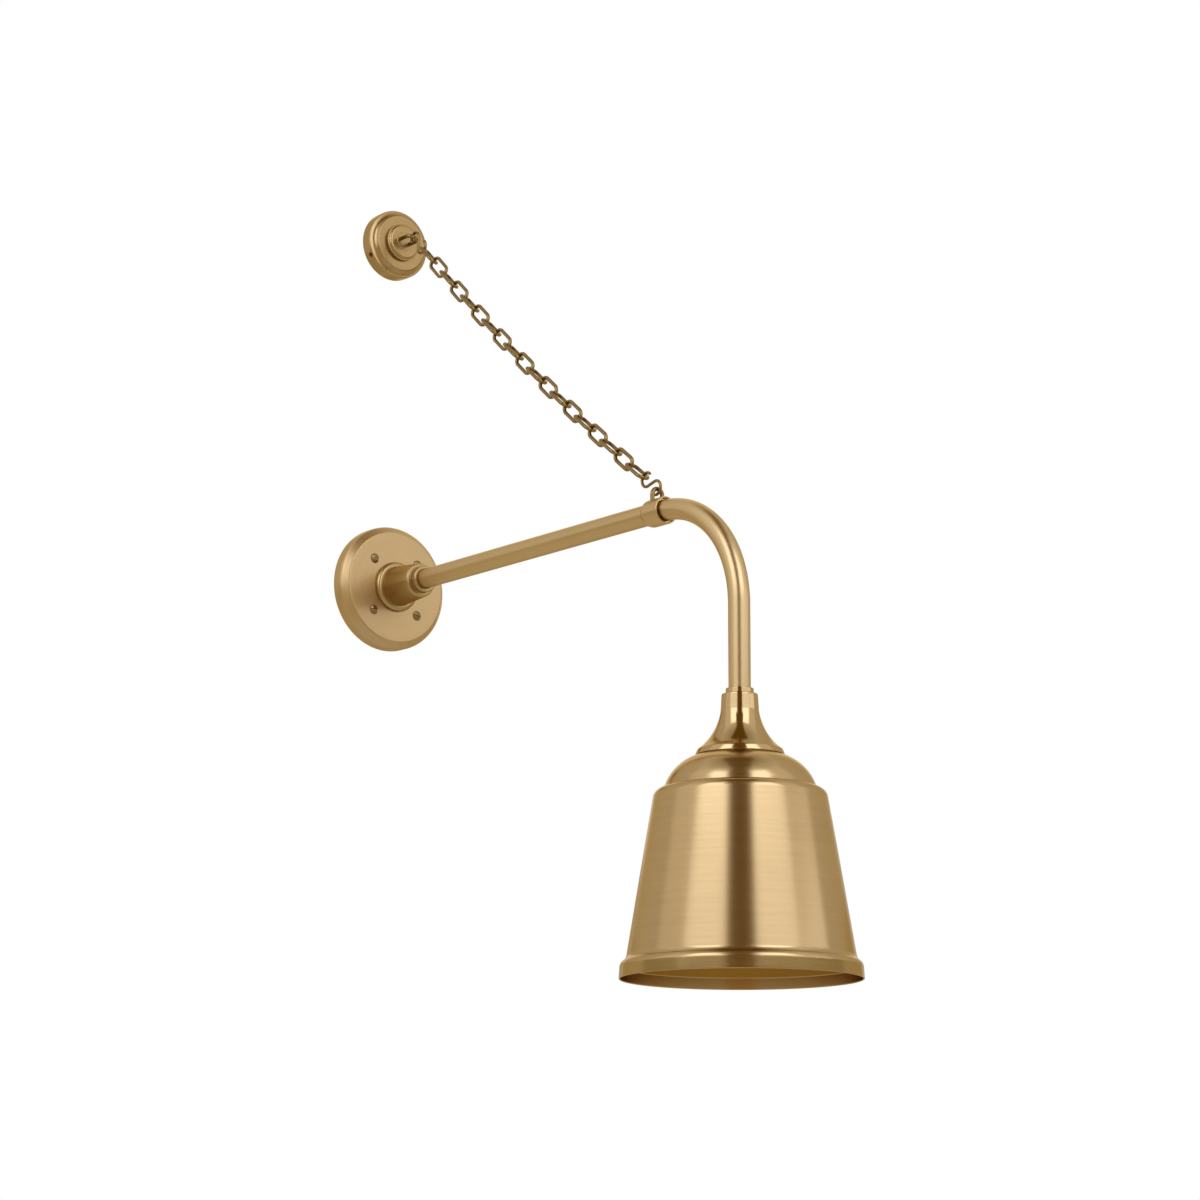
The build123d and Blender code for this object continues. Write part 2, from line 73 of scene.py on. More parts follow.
lens = bpy.data.cameras.new("camera")
lens.sensor_width = 36
lens.lens = lens.sensor_width * focal_pixels / picture_side
camera = bpy.data.objects.new("camera", lens)
aim = Euler((math.pi / 2 + camera_tilt, 0, -camera_heading)).to_matrix().to_4x4()
aim = aim @ Matrix.Rotation(camera_roll, 4, "Z")
camera.matrix_world = Matrix.Translation(camera_place) @ aim
bpy.context.collection.objects.link(camera)
bpy.context.scene.camera = camera
print("lens", round(lens.lens, 1), "mm")

# %% [markdown]
# ## Writing shaders as sums
# A finish is a small tree of nodes. Linking dozens of Math nodes by hand is hard to read, so
# a Reading wraps one socket and lets Python's own operators add the nodes: 1 - mask * 0.3 adds
# two Math nodes. Every other node comes from one method, add.


# %% Shader maths
class Reading:
    """One socket of a tree. An operator on it adds a Math node and gives that node's socket."""

    def __init__(self, tree, socket):
        self.tree = tree
        self.socket = socket

    def maths(self, operation, first, second):
        return self.tree.add("ShaderNodeMath", {"operation": operation}, {0: first, 1: second})

    def __add__(self, other):
        return self.maths("ADD", self, other)

    def __sub__(self, other):
        return self.maths("SUBTRACT", self, other)

    def __rsub__(self, other):
        return self.maths("SUBTRACT", other, self)

    def __mul__(self, other):
        return self.maths("MULTIPLY", self, other)

    def __truediv__(self, other):
        return self.maths("DIVIDE", self, other)

    def __rtruediv__(self, other):
        return self.maths("DIVIDE", other, self)

    def __pow__(self, other):
        return self.maths("POWER", self, other)

    def __rpow__(self, other):
        return self.maths("POWER", other, self)

    __radd__ = __add__
    __rmul__ = __mul__


class Tree:
    """A node tree that is being wired."""

    def __init__(self, tree):
        self.tree = tree

    def add(self, kind, settings=None, inputs=None, output=0):
        """Adds a node, sets it up, fills its sockets and gives one of its outputs."""
        node = self.tree.nodes.new(kind)
        for name, value in (settings or {}).items():
            setattr(node, name, value)
        for name, value in (inputs or {}).items():
            self.plug(node.inputs[name], value)
        return Reading(self, node.outputs[output])

    def plug(self, socket, value):
        if isinstance(value, Reading):
            self.tree.links.new(value.socket, socket)
        else:
            socket.default_value = value

    def place(self, centre=(0, 0, 0), turn=(0, 0, 0), stretch=(1, 1, 1)):
        """The object's own coordinates, moved, turned and stretched by a Mapping node."""
        where = self.add("ShaderNodeTexCoord", output="Object")
        moves = {"Vector": where, "Location": centre, "Rotation": turn, "Scale": stretch}
        return self.add("ShaderNodeMapping", {}, moves)

    def blend(self, share, first, second):
        """A mix of two colours."""
        colours = {0: share, 6: (*first, 1), 7: (*second, 1)}
        return self.add("ShaderNodeMix", {"data_type": "RGBA"}, colours, output=2)


print("operators: + - * / **")

# %% [markdown]
# ## The studio
# Brass looks like what it mirrors, so most of this studio is there to be seen in the metal. The
# world is white for the camera, for mirrors and for glass, and a little lower for plain surfaces,
# which the lamps light as well. A white room of real walls would do the same, at the cost of
# a longer render.

# %% World
room_level = 0.8
world = bpy.data.worlds.new("studio")
bpy.context.scene.world = world
world.use_nodes = True
sky = Tree(world.node_tree)
ray = "ShaderNodeLightPath"
mirrored = sky.add(ray, output="Is Camera Ray") + sky.add(ray, output="Is Glossy Ray")
mirrored = mirrored + sky.add(ray, output="Is Transmission Ray")
background = world.node_tree.nodes["Background"]
background.inputs["Color"].default_value = (1, 1, 1, 1)
sky.plug(background.inputs["Strength"], mirrored * (1 - room_level) + room_level)
bpy.context.scene.view_settings.view_transform = "Standard"
print("world", room_level, "for plain surfaces and 1 for mirrors")

# %% [markdown]
# ## Lamps
# The photograph shows a soft bright band down each side of the shade. A tall lamp on each side of
# the camera makes it, with a smaller core that fades the band towards the rim. A low, wide lamp
# further round to the right is what the flat face of the wall plate mirrors. Points would be
# quicker to place, but only a lamp with a size shows as a band. The colour is cool, because the
# brass in the picture is palest where it is brightest.

# %% Lamps
middle = Vector((0, -0.40, -0.15))
lamp_colour = (0.86, 1.0, 1.32)


def beside_camera(turn, distance, height):
    """A place round the light: turn is in degrees from the camera, to the right as it sees it."""
    heading = math.radians(turn) - camera_heading
    outwards = Vector((math.sin(heading), -math.cos(heading), 0))
    return outwards * distance + middle + Vector((0, 0, height))


def upright(turn, distance, height):
    """A place for a lamp or card that stands upright and faces the light."""
    facing = Matrix.Rotation(math.radians(turn) - camera_heading, 4, "Z")
    standing = Matrix.Rotation(math.pi / 2, 4, "X")
    return Matrix.Translation(beside_camera(turn, distance, height)) @ facing @ standing


def soft_lamp(name, turn, distance, low, width, tall, radiance):
    """An upright lamp of an even brightness, whose lower edge is at the height low."""
    lamp = bpy.data.lights.new(name, "AREA")
    lamp.shape = "RECTANGLE"
    lamp.size = width
    lamp.size_y = tall
    lamp.energy = radiance * math.pi * width * tall
    lamp.color = lamp_colour
    piece = bpy.data.objects.new(name, lamp)
    piece.matrix_world = upright(turn, distance, low + tall / 2)
    bpy.context.collection.objects.link(piece)
    print(name, round(lamp.energy), "W")


lamp_distance = 2.0
core_turn = 0.95
for side, turn in (("left", -38), ("right", 36)):
    soft_lamp(f"{side}_lamp", turn, lamp_distance, low=0.2, width=1.55, tall=2.6, radiance=0.7)
    soft_lamp(f"{side}_core", turn * core_turn, lamp_distance, low=0.82, width=1.3, tall=1.85, radiance=1.1)
soft_lamp("plate_lamp", turn=76, distance=4.0, low=0.45, width=2.4, tall=0.8, radiance=0.7)

# %% [markdown]
# ## Cards
# A photographer stands cards round shiny metal, to choose what it mirrors. These cards glow at the
# level that their mirror image needs, and neither the camera nor plain surfaces see them. Boards
# that the lamps light would be truer to a studio, but then each change to a lamp would change them
# too. Low cards warm the rim and the undersides, rim cards darken the lowest band of the shade, and
# side and back cards fill its edges. The dark ones keep a dark band down the middle of the shade,
# the neck and the bend: one stands behind the camera, a small one nearer than the lamps, and one
# lies overhead.

# %% Card helpers
sheet_roughness = 0.9
sheet_gloss = 0.1
black = (0, 0, 0)


def plain_sheet(name, size_x, size_y, place, colour, glow):
    """A flat sheet of the studio, not of the light. Gives the sheet and its shader."""
    bm = bmesh.new()
    bmesh.ops.create_grid(bm, x_segments=1, y_segments=1, size=0.5)
    bmesh.ops.scale(bm, vec=(size_x, size_y, 1), verts=bm.verts)
    bmesh.ops.transform(bm, matrix=place, verts=bm.verts)
    sheet = bpy.data.objects.new(name, bpy.data.meshes.new(name))
    bm.to_mesh(sheet.data)
    bm.free()
    bpy.context.collection.objects.link(sheet)
    surface = bpy.data.materials.new(name)
    surface.use_nodes = True
    shader = surface.node_tree.nodes["Principled BSDF"]
    shader.inputs["Base Color"].default_value = (*colour, 1)
    shader.inputs["Roughness"].default_value = sheet_roughness
    shader.inputs["Specular IOR Level"].default_value = sheet_gloss
    shader.inputs["Emission Color"].default_value = (*glow, 1)
    shader.inputs["Emission Strength"].default_value = 1.0
    sheet.data.materials.append(surface)
    return sheet, shader


def mirrored_card(name, place, width, length, glow):
    """A card that only the brass sees, with the glow that its mirror image has. Gives its shader."""
    card, shader = plain_sheet(name, width, length, place, black, glow)
    card.visible_camera = False
    card.visible_diffuse = False
    card.visible_shadow = False
    return shader


def standing_card(name, turn, distance, height, width, tall, glow):
    """An upright card whose middle is at that height."""
    mirrored_card(name, upright(turn, distance, height), width, tall, glow)
    print(name, width, "x", tall, "m")


print("sheets have a roughness of", sheet_roughness)

# %% Cards
low_glow = (0.62, 0.56, 0.41)
rim_glow = (0.42, 0.37, 0.22)
side_glow = (0.76, 0.74, 0.69)
back_glow = (1.1, 1.06, 0.98)
front_glow = (0.55, 0.38, 0.18)
dark_glow = (0.17, 0.095, 0.006)
dark_turn = -1.5

for turn in (36, 81, 126, 180, -126, -81, -36):
    standing_card(
        f"low_card_{turn}", turn, distance=2.0, height=-0.82, width=1.66, tall=2.05, glow=low_glow,
    )
for turn in (36, 81, -81, -36):
    standing_card(
        f"rim_card_{turn}", turn, distance=1.98, height=0.02, width=1.66, tall=0.5, glow=rim_glow,
    )
for turn in (-130, 130):
    standing_card(
        f"side_card_{turn}", turn, distance=3.2, height=1.65, width=4.4, tall=7.0, glow=side_glow,
    )
standing_card("back_card", 180, distance=3.0, height=2.4, width=2.6, tall=5.6, glow=back_glow)
standing_card("front_card", dark_turn, distance=2.2, height=-0.95, width=1.2, tall=1.8, glow=front_glow)
standing_card("dark_card", dark_turn, distance=3.3, height=5.1, width=1.6, tall=10.0, glow=dark_glow)
standing_card("dark_flag", dark_turn, distance=1.5, height=1.85, width=1.15, tall=1.7, glow=dark_glow)
strip_turn = Matrix.Rotation(-camera_heading, 4, "Z")
strip_middle = beside_camera(dark_turn, distance=2.0, height=7.6)
strip_place = Matrix.Translation(strip_middle) @ strip_turn
mirrored_card("dark_strip", strip_place, width=3.2, length=7.2, glow=dark_glow)

# %% [markdown]
# ## Ceiling and floor
# Faces that look up, such as the dome and the top of the anchor, mirror the ceiling. It is white
# at its edge and fades to a dark amber overhead, which a spherical gradient does in one node. Rings
# of cards would do it too, but their edges would show. The pale floor is the one sheet that the
# camera can see.

# %% Ceiling and floor
ceiling_half = 6.0
ceiling_middle = middle + Vector((0, 0, 8.0))
ceiling_edge = (1, 1, 1)
ceiling_dark = (0.28, 0.22, 0.11)
overhead = Matrix.Translation(ceiling_middle)
ceiling = mirrored_card("ceiling_card", overhead, 2 * ceiling_half, 2 * ceiling_half, ceiling_edge)
above = Tree(ceiling.id_data)
where = above.place(-ceiling_middle / ceiling_half, stretch=[1 / ceiling_half] * 3)
fade = above.add("ShaderNodeTexGradient", {"gradient_type": "SPHERICAL"}, {"Vector": where}, output=1)
above.plug(ceiling.inputs["Emission Color"], above.blend(fade, ceiling_edge, ceiling_dark))

floor_level = -2.0
floor_size = 16
floor_colour = (0.8, 0.77, 0.71)
floor_place = Matrix.Translation((0, 0, floor_level))
plain_sheet("floor", floor_size, floor_size, floor_place, floor_colour, glow=black)
print("floor", -floor_level, "m below the middle of the wall plate")

# %% [markdown]
# ## Brass
# The brass is turned or spun on a lathe, rubbed down with fine abrasive and lacquered. On the
# real pieces the rubbing leaves hair lines that run round each piece's own axis, and the tone is
# a little cloudy. An anisotropic shader could show the lines, but it needs tangents that
# a baked model loses. Here a noise is stretched round the axis instead, and it shifts both the
# colour and the roughness by a small amount.

# %% Finish helper
noise_roughness = 0.55
broad_detail = 2.0
fine_detail = 3.0


class Finish(Tree):
    """A material made from one Principled shader."""

    def __init__(self, name, colour, roughness, metallic=1.0):
        self.material = bpy.data.materials.new(name)
        self.material.use_nodes = True
        super().__init__(self.material.node_tree)
        self.shader = self.tree.nodes["Principled BSDF"]
        self.put("Base Color", (*colour, 1))
        self.put("Roughness", roughness)
        self.put("Metallic", metallic)

    def put(self, name, value):
        self.plug(self.shader.inputs[name], value)

    def noise(self, vector, scale, detail):
        """A noise from 0 to 1, grey on average."""
        inputs = {"Vector": vector, "Scale": scale, "Detail": detail, "Roughness": noise_roughness}
        return self.add("ShaderNodeTexNoise", {}, inputs)


brass_dark = (0.425, 0.283, 0.126)
brass_light = (0.515, 0.344, 0.156)
brass_edge = (0.72, 0.58, 0.36)


def lacquer(finish):
    """A thin clear coat over rubbed brass, which keeps its colour where it is seen edge on."""
    finish.put("Specular Tint", (*brass_edge, 1))
    finish.put("Coat Weight", 0.25)
    finish.put("Coat Roughness", 0.1)
    finish.put("Coat IOR", 1.6)


print("brass from", brass_dark, "to", brass_light)

# %% Turned brass
line_scale = 300
line_slant = 1.7
line_wander = 1.5
line_contrast = 1.4
line_share = 0.6
line_gloss = 0.04
cloud_scale = 22.0
no_turn = (0, 0, 0)
face_out = (math.pi / 2, 0, 0)
arm_reach = 0.529
anchor_height = 0.3524
plate_axis = (0, 0, 0)
anchor_axis = (0, anchor_height, 0)
shade_axis = (0, arm_reach, 0)


def turned_brass(name, centre, turn, roughness, tone=(1, 1, 1)):
    """Brass rubbed down on the lathe, with hair lines round the axis that centre and turn give."""
    dark = [value * share for value, share in zip(brass_dark, tone)]
    light = [value * share for value, share in zip(brass_light, tone)]
    finish = Finish(name, light, roughness)
    local = finish.place(centre, turn)
    split = {axis: finish.add("ShaderNodeSeparateXYZ", {}, {0: local}, output=axis) for axis in "XYZ"}
    radius = (split["X"] * split["X"] + split["Y"] * split["Y"]) ** 0.5
    section = (radius + split["Z"] * line_slant) * line_scale
    round_x = split["X"] / radius * line_wander
    round_y = split["Y"] / radius * line_wander
    ring = finish.add("ShaderNodeCombineXYZ", {}, {"X": round_x, "Y": round_y, "Z": section})
    lines = finish.noise(ring, 1.0, broad_detail) * line_contrast - (line_contrast - 1) / 2
    cloud = finish.noise(local, cloud_scale, broad_detail)
    finish.put("Base Color", finish.blend(lines * line_share + cloud * (1 - line_share), dark, light))
    finish.put("Roughness", lines * line_gloss + (roughness - line_gloss / 2))
    lacquer(finish)
    return finish.material


# The tones set the pieces apart: the wall plate is painted lighter, as painted light on its flat face, and
# the hub and anchor are painted darker and warmer, as painted shade.
wall_brass = turned_brass("wall_brass", plate_axis, face_out, roughness=0.42, tone=(1.08, 1.08, 1.06))
hub_brass = turned_brass("hub_brass", plate_axis, face_out, roughness=0.32, tone=(0.9, 0.9, 0.8))
anchor_brass = turned_brass("anchor_brass", anchor_axis, face_out, roughness=0.30, tone=(0.86, 0.82, 0.7))
shade_brass = turned_brass("shade_brass", shade_axis, no_turn, roughness=0.21)
neck_brass = turned_brass("neck_brass", shade_axis, no_turn, roughness=0.13)
print("turned brass on three axes")

# %% [markdown]
# The tube is drawn and then rubbed, and the chain, hooks and eyes are darker, because wire is only
# dipped and tumbled. They get two plain noises, a broad one for the cloudy tone and a fine one for
# the grain, and so do the inside of the shade, the steel and the lampholder. Scanned textures would
# show more, but they would have to be unwrapped on to every piece. The clear glass of the bulb has
# one value.

# %% Other finishes
broad_grain = 0.12
broad_share = 0.7
grain_gloss = 0.06


def rubbed(name, dark, light, roughness, grain, metallic=1.0):
    """A surface with a cloudy tone and a fine grain."""
    finish = Finish(name, light, roughness, metallic)
    local = finish.place()
    cloud = finish.noise(local, grain * broad_grain, broad_detail)
    fine = finish.noise(local, grain, fine_detail)
    finish.put("Base Color", finish.blend(cloud * broad_share + fine * (1 - broad_share), dark, light))
    finish.put("Roughness", fine * grain_gloss + (roughness - grain_gloss / 2))
    return finish


# The tube brass is painted lighter than the turned brass, as painted light for the bright bands down the
# tube; the collar and the satin brass parts share it.
tube_finish = rubbed("tube_brass", (0.53, 0.367, 0.175), (0.60, 0.416, 0.198), 0.32, 200)
lacquer(tube_finish)
tube_brass = tube_finish.material
# The inside of the shade is painted darker, as painted shade, and its orange specular tint is a painted
# reflection of the brass walls in each other.
shaded_inner_finish = rubbed("shaded_inner_brass", (0.23, 0.112, 0.016), (0.31, 0.154, 0.024), 0.3, 300)
shaded_inner_finish.put("Specular Tint", (0.5, 0.28, 0.06, 1))
shaded_inner_brass = shaded_inner_finish.material
glass_finish = Finish("bulb_glass", (1, 1, 1), 0.05, metallic=0.0)
glass_finish.put("Transmission Weight", 1.0)
glass_finish.put("IOR", 1.45)
chain_brass = rubbed("chain_brass", (0.20, 0.122, 0.036), (0.34, 0.218, 0.076), 0.3, 900).material
screw_brass = rubbed("screw_brass", (0.22, 0.138, 0.050), (0.34, 0.220, 0.085), 0.3, 900).material

slot_finish = {
    "satin_brass": tube_brass,
    "spun_brass": shade_brass,
    "chain_brass": chain_brass,
    "screw_brass": screw_brass,
    "zinc_steel": rubbed("zinc_steel", (0.52, 0.52, 0.50), (0.66, 0.66, 0.64), 0.38, 700).material,
    "porcelain": rubbed("porcelain", (0.76, 0.75, 0.71), (0.83, 0.82, 0.78), 0.15, 400, 0.0).material,
    "contact_brass": rubbed("contact_brass", (0.64, 0.43, 0.17), (0.76, 0.53, 0.23), 0.3, 900).material,
    "bulb_metal": rubbed("bulb_metal", (0.64, 0.64, 0.62), (0.76, 0.76, 0.74), 0.3, 900).material,
    "bulb_glass": glass_finish.material,
}
print(len(slot_finish), "slots have a finish")


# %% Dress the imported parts
def dress(piece, finish):
    piece.data.materials.clear()
    piece.data.materials.append(finish)


for subpart in frame["record"]["subparts"]:
    dress(parts[subpart["node"]], slot_finish[subpart["material_slot"]])
print("finishes on", len(parts), "packed parts")

# %% [markdown]
# ## Turned pieces
# The wall plate, hub, collar, anchor cover, neck and shade are all round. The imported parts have
# the right sections, but their corners are razor sharp, and a real edge shows a thin light line.
# So each section is drawn again as a closed line, its corners are softened with a vertex bevel, and
# a full spin turns it into the piece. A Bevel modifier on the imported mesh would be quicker, but it
# would trip over the long thin triangles there. A section is drawn in millimetres.

# %% Drawing a section
MM = 0.001
arc_steps = 12
flat_start = 2.0
flat_room = 2.5


def corner(along, radius, soft=0.0, rise=0.0):
    """A corner of a section: its place along the axis and from it, how soft it is, and how far
    the stroke that leads to it bulges, away from the axis or, below zero, towards it."""
    return {"place": Vector((radius, 0, along)), "soft": soft, "rise": rise}


def draw_line(bm, pen, end, soft_start, soft_end):
    """A straight stroke, with a point beyond each soft corner that keeps the rest flat."""
    start = pen.co.copy()
    stroke = end - start
    stops = [end]
    if stroke.length > flat_room * (soft_start + soft_end):
        way = stroke.normalized()
        if soft_end:
            stops.insert(0, end - way * soft_end * flat_start)
        if soft_start:
            stops.insert(0, start + way * soft_start * flat_start)
    for stop in stops:
        pen = bmesh.ops.extrude_vert_indiv(bm, verts=[pen])["verts"][0]
        pen.co = stop
    return pen


def draw_arc(bm, pen, end, rise):
    """A bulging stroke, spun about its own centre."""
    start = pen.co.copy()
    stroke = end - start
    bulge = Vector((stroke.z, 0, -stroke.x)).normalized()
    if bulge.x < 0:
        bulge.negate()
    radius = (stroke.length_squared / 4 + rise * rise) / (2 * abs(rise))
    centre = (start + end) / 2 + bulge * (rise - math.copysign(radius, rise))
    angle = 2 * math.asin(stroke.length / 2 / radius)
    if (start - centre).cross(end - centre).y < 0:
        angle = -angle
    spun = bmesh.ops.spin(
        bm, geom=[pen], cent=centre, axis=(0, 1, 0), angle=angle, steps=arc_steps,
        use_merge=False, use_duplicate=False,
    )
    return [part for part in spun["geom_last"] if isinstance(part, bmesh.types.BMVert)][0]


print("an arc has", arc_steps, "steps")

# %% Spinning a section
soft_segments = 4
section_weld = 0.001
sharp_angle = math.radians(33)


def spun_mesh(corners, place, steps=192):
    """Draws a section, softens its corners and spins it. The sizes are in millimetres."""
    bm = bmesh.new()
    pen = bm.verts.new(corners[0]["place"])
    drawn = [pen]
    for before, after in zip(corners, corners[1:]):
        if after["rise"]:
            pen = draw_arc(bm, pen, after["place"], after["rise"])
        else:
            pen = draw_line(bm, pen, after["place"], before["soft"], after["soft"])
        drawn.append(pen)
    bm.edges.new((pen, drawn[0]))
    for mark, vert in zip(corners, drawn):
        if mark["soft"]:
            bmesh.ops.bevel(
                bm, geom=[vert], offset=mark["soft"], offset_type="OFFSET", segments=soft_segments,
                profile=0.5, affect="VERTICES", material=-1,
            )
    bmesh.ops.spin(
        bm, geom=bm.verts[:] + bm.edges[:], cent=(0, 0, 0), axis=(0, 0, 1), angle=2 * math.pi, steps=steps,
        use_merge=True, use_duplicate=False,
    )
    bmesh.ops.remove_doubles(bm, verts=bm.verts, dist=section_weld)
    bmesh.ops.recalc_face_normals(bm, faces=bm.faces)
    bmesh.ops.transform(bm, matrix=place @ Matrix.Scale(MM, 4), verts=bm.verts)
    return bm


on_wall = Matrix.Rotation(math.pi / 2, 4, "X")
at_anchor = Matrix.Translation((0, 0, anchor_height)) @ on_wall
under_arm = Matrix.Translation((0, -arm_reach, 0))
print("sections are drawn in the plane of X and Z, and spun about Z")


# %% Putting a piece into the scene
def piece_from(bm, name):
    """Puts a finished bmesh into the scene as a smooth piece."""
    for face in bm.faces:
        face.smooth = True
    mesh = bpy.data.meshes.new(name)
    bm.to_mesh(mesh)
    bm.free()
    mesh.set_sharp_from_angle(angle=sharp_angle)
    piece = bpy.data.objects.new(name, mesh)
    bpy.context.collection.objects.link(piece)
    return piece


def stand_for(piece, body, finish, slot, *nodes):
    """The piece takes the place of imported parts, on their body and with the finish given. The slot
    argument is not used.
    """
    dress(piece, finish)
    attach(piece, body)
    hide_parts(*nodes)
    print(piece.name, len(piece.data.polygons), "faces for", ", ".join(nodes))


print("edges sharper than", round(math.degrees(sharp_angle)), "degrees stay sharp")

# %% [markdown]
# ## Shade
# The shade is one sheet of brass, spun over a former: a domed crown, a rolled shoulder, a long
# straight taper and a small ogee above the rim. The section goes down the outside and back up the
# inside, so the sheet has a real thickness at the rim. A Solidify modifier would give a thickness
# too, but then the corners of the rim could not be softened in the section. Its inside faces get
# a darker, more orange finish of their own, which is painted shade and painted reflection.

# %% Shade
tube_bore = 9.675
sheet = 1.2
crown_level, crown_radius = -230.6, 37.8
dome_level, dome_radius = -258.4, 64.4
dome_rise = 4.8
shoulder_level, shoulder_radius = -265.0, 73.3
wall_level, wall_radius = -397.8, 95.4
swan_level, swan_radius = -402.6, 98.3
ogee_level, ogee_radius = -407.4, 101.2
ogee_rise = 0.6
rim_level, rim_radius = -417.5, 101.8
shade_section = [
    corner(crown_level, tube_bore),
    corner(crown_level, crown_radius),
    corner(dome_level, dome_radius, soft=0.3, rise=dome_rise),
    corner(shoulder_level, shoulder_radius, soft=0.5, rise=1.9),
    corner(wall_level, wall_radius, soft=0.4),
    corner(swan_level, swan_radius, rise=-ogee_rise),
    corner(ogee_level, ogee_radius, soft=0.4, rise=ogee_rise),
    corner(rim_level, rim_radius, soft=0.5),
    corner(rim_level, rim_radius - sheet, soft=0.5),
    corner(ogee_level, ogee_radius - sheet, soft=0.4),
    corner(wall_level - sheet, wall_radius - sheet, soft=0.4),
    corner(shoulder_level - sheet / 2, shoulder_radius - sheet, soft=0.4),
    corner(dome_level - sheet, dome_radius - sheet, soft=0.4),
    corner(crown_level - sheet, crown_radius - sheet / 2, soft=0.3, rise=dome_rise),
    corner(crown_level - sheet, tube_bore),
]
shade = piece_from(spun_mesh(shade_section, under_arm, steps=256), "spun_shade")
stand_for(shade, "fixture", shade_brass, "spun_brass", "shade")

# %% Inside of the shade
inside_margin = 0.2
inside_end = (ogee_level + inside_margin) * MM
lamp_axis = Vector((0, -arm_reach, 0))
inside_faces = 0
# Faces that look inwards, above the rim band, get the painted shade of the inside.
shade.data.materials.append(shaded_inner_brass)
for face in shade.data.polygons:
    outwards = face.center - lamp_axis
    outwards.z = 0
    if outwards.dot(face.normal) < 0 and face.center.z > inside_end:
        face.material_index = 1
        inside_faces += 1
print("the inside has its own finish on", inside_faces, "faces")

# %% [markdown]
# ## Neck
# The neck is a casting that slides on the tube and clamps the shade: a small ring, a stem and a flare
# that ends in a flange on the crown. It is spun like the shade, because a flare modelled from
# a cylinder by scaling its loops would need many loops to be as smooth.

# %% Neck
ring_top, ring_radius = -173.0, 11.925
stem_top, stem_radius = -177.8, 15.425
flare_top, flare_radius = -192.0, 16.225
flange_top, flange_radius = -225.4, 36.2
flange_edge, edge_radius = -230.1, 37.9
seat_top, seat_radius = -230.3, 37.2
neck_section = [
    corner(ring_top, tube_bore, soft=0.3),
    corner(ring_top, ring_radius, soft=0.6),
    corner(stem_top, ring_radius, soft=0.3),
    corner(stem_top, stem_radius, soft=1.0),
    corner(flare_top, flare_radius, soft=0.6),
    corner(flange_top, flange_radius, soft=0.4, rise=-3.9),
    corner(flange_edge, edge_radius, soft=0.3, rise=0.15),
    corner(seat_top, seat_radius, soft=0.1),
    corner(crown_level, seat_radius),
    corner(crown_level, tube_bore),
]
neck = piece_from(spun_mesh(neck_section, under_arm), "cast_neck")
stand_for(neck, "fixture", neck_brass, "satin_brass", "neck")

# %% [markdown]
# ## Wall plate
# The plate is a shallow cup with a bevelled front and four countersunk holes. The cup is spun like
# the rest, and the holes are cut by a Boolean modifier that is applied at once: a spun mesh
# has no edges where the holes go, so there is nothing that an inset could start from.


# %% Cutting holes
def cut_away(piece, cutter):
    """Takes the cutter's shape out of the piece, and the cutter out of the scene."""
    modifier = piece.modifiers.new("holes", "BOOLEAN")
    modifier.operation = "DIFFERENCE"
    modifier.solver = "EXACT"
    modifier.object = cutter
    graph = bpy.context.evaluated_depsgraph_get()
    mesh = bpy.data.meshes.new_from_object(piece.evaluated_get(graph))
    piece.modifiers.clear()
    piece.data = mesh
    piece.data.set_sharp_from_angle(angle=sharp_angle)
    bpy.data.objects.remove(cutter)
    print(piece.name, "cut to", len(mesh.polygons), "faces")


# %% Wall plate
plate_radius = 61.0
plate_depth = 17.9
plate_wall = 2.5
plate_bevel = 6.5
bevel_inset = 1.04
plate_face = plate_radius - plate_bevel
plate_edge = plate_depth - plate_bevel
plate_section = [
    corner(0, plate_radius - plate_wall),
    corner(0, plate_radius, soft=0.5),
    corner(plate_edge, plate_radius, soft=2.2),
    corner(plate_depth, plate_face, soft=0.8),
    corner(plate_depth, tube_bore, soft=0.3),
    corner(plate_depth - plate_wall, tube_bore),
    corner(plate_depth - plate_wall, plate_face - bevel_inset),
    corner(plate_edge - bevel_inset, plate_radius - plate_wall),
]
plate = piece_from(spun_mesh(plate_section, on_wall), "turned_plate")

# %% Screw holes
screw_steps = 48
screw_place = 25.4 * MM
screw_places = [(x * screw_place, z * screw_place) for x in (-1, 1) for z in (-1, 1)]
hole_start = 12
hole_radius = 2.3
sink_start, sink_end = 15.3, 18.4
sink_radius = hole_radius + sink_end - sink_start
hole_section = [
    corner(hole_start, 0),
    corner(hole_start, hole_radius),
    corner(sink_start, hole_radius),
    corner(sink_end, sink_radius),
    corner(sink_end, 0),
]
for x, z in screw_places:
    hole = spun_mesh(hole_section, Matrix.Translation((x, 0, z)) @ on_wall, screw_steps)
    cut_away(plate, piece_from(hole, "screw_hole"))
stand_for(plate, "fixture", wall_brass, "satin_brass", "wall_plate")

# %% [markdown]
# ## Plate screws
# Four slotted screws hold the plate. Their heads sit in the countersinks with a low dome, and the
# slots stand at odd angles, as a hand leaves them. A screw is spun, and a thin block cuts its slot.
# A slot could also be pushed in with an inset, but a round head has no straight edges to start from.

